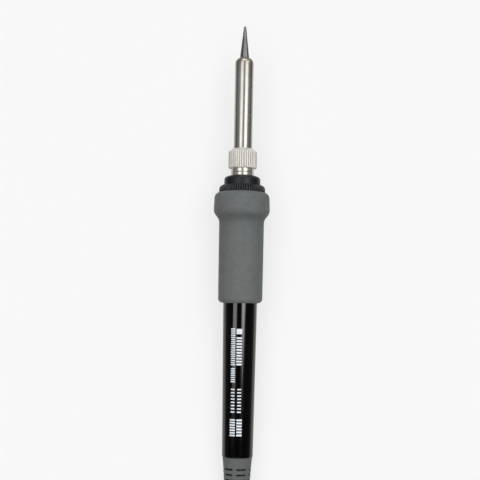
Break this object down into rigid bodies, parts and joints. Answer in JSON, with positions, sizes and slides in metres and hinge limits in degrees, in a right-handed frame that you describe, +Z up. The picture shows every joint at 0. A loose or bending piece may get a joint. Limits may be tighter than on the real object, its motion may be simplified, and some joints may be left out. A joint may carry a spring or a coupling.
{
  "type": "soldering iron handpiece",
  "caption": "Slim temperature-controlled soldering iron handpiece: fine conical tip, steel sleeve, knurled nut, foam grip, glossy handle and slotted cord bushing, no cord.",
  "frame": {"origin": "bottom centre of the whole iron's box as it lies on a flat surface, on its grip flange and the rear edge of its handle", "axes": "+Y along the iron from the cord end to the tip, +Z up from the surface it lies on, +X to the right seen from above with the tip pointing away; the iron's own axis leans 3.04 degrees up towards the tip"},
  "size_m": [0.0245, 0.217, 0.0245],
  "materials": {
    "tip_plating": "dark plated, tinned at the point",
    "sleeve_steel": "polished stainless",
    "nut_plating": "satin nickel plate over brass",
    "ferrule_plating": "bright nickel plate over brass",
    "nipple_plastic": "heat-proof moulding",
    "heater_ceramic": "fired, unglazed",
    "lead_heater": "coated wire",
    "lead_sensor": "coated wire",
    "glass_sleeving": "woven glass fibre",
    "spring_wire": "tinned wire",
    "board_laminate": "solder-masked laminate",
    "board_tin": "tinned eyelets",
    "stopper_plastic": "moulded nylon",
    "handle_plastic": "high-gloss black",
    "grip_foam": "fine closed-cell foam",
    "bushing_rubber": "matt moulded rubber"
  },
  "bodies": {
    "handle": {"handle_body": "handle_plastic", "foam_grip": "grip_foam", "cord_bushing": "bushing_rubber", "cord_stopper": "stopper_plastic"},
    "heater_core": {"heater_rod": "heater_ceramic", "heater_flange": "heater_ceramic", "heater_lead_1": "lead_heater", "heater_lead_2": "lead_heater", "sensor_lead_1": "lead_sensor", "sensor_lead_2": "lead_sensor", "lead_sleeves": "glass_sleeving", "grounding_spring": "spring_wire", "ground_lead": "spring_wire", "terminal_board": "board_laminate", "board_terminals": "board_tin"},
    "nipple": {"nipple_ferrule": "ferrule_plating", "nipple_collar": "nipple_plastic"},
    "tip": {"soldering_tip": "tip_plating"},
    "sleeve": {"tip_enclosure": "sleeve_steel"},
    "nut": {"enclosure_nut": "nut_plating"}
  },
  "joints": [
    {"name": "core_advance", "type": "slide", "parent": "handle", "child": "heater_core", "axis": [0, 0.9986, 0.053], "range_m": [0, 0.009]},
    {"name": "nipple_turn", "type": "hinge", "parent": "heater_core", "child": "nipple", "pos_m": [0, 0.03485, 0.01265], "axis": [0, 0.9986, 0.053], "range_deg": [0, 2160]},
    {"name": "tip_pull", "type": "slide", "parent": "nipple", "child": "tip", "axis": [0, 0.9986, 0.053], "range_m": [0, 0.05]},
    {"name": "sleeve_advance", "type": "slide", "parent": "tip", "child": "sleeve", "axis": [0, 0.9986, 0.053], "range_m": [0, 0.006]},
    {"name": "nut_turn", "type": "hinge", "parent": "sleeve", "child": "nut", "pos_m": [0, 0.04943, 0.01342], "axis": [0, 0.9986, 0.053], "range_deg": [0, 2160]}
  ],
  "couplings": [
    {"joint": "nipple_turn", "follows": "core_advance", "rad_per_m": 4188.8},
    {"joint": "nut_turn", "follows": "sleeve_advance", "rad_per_m": 6283.2}
  ]
}
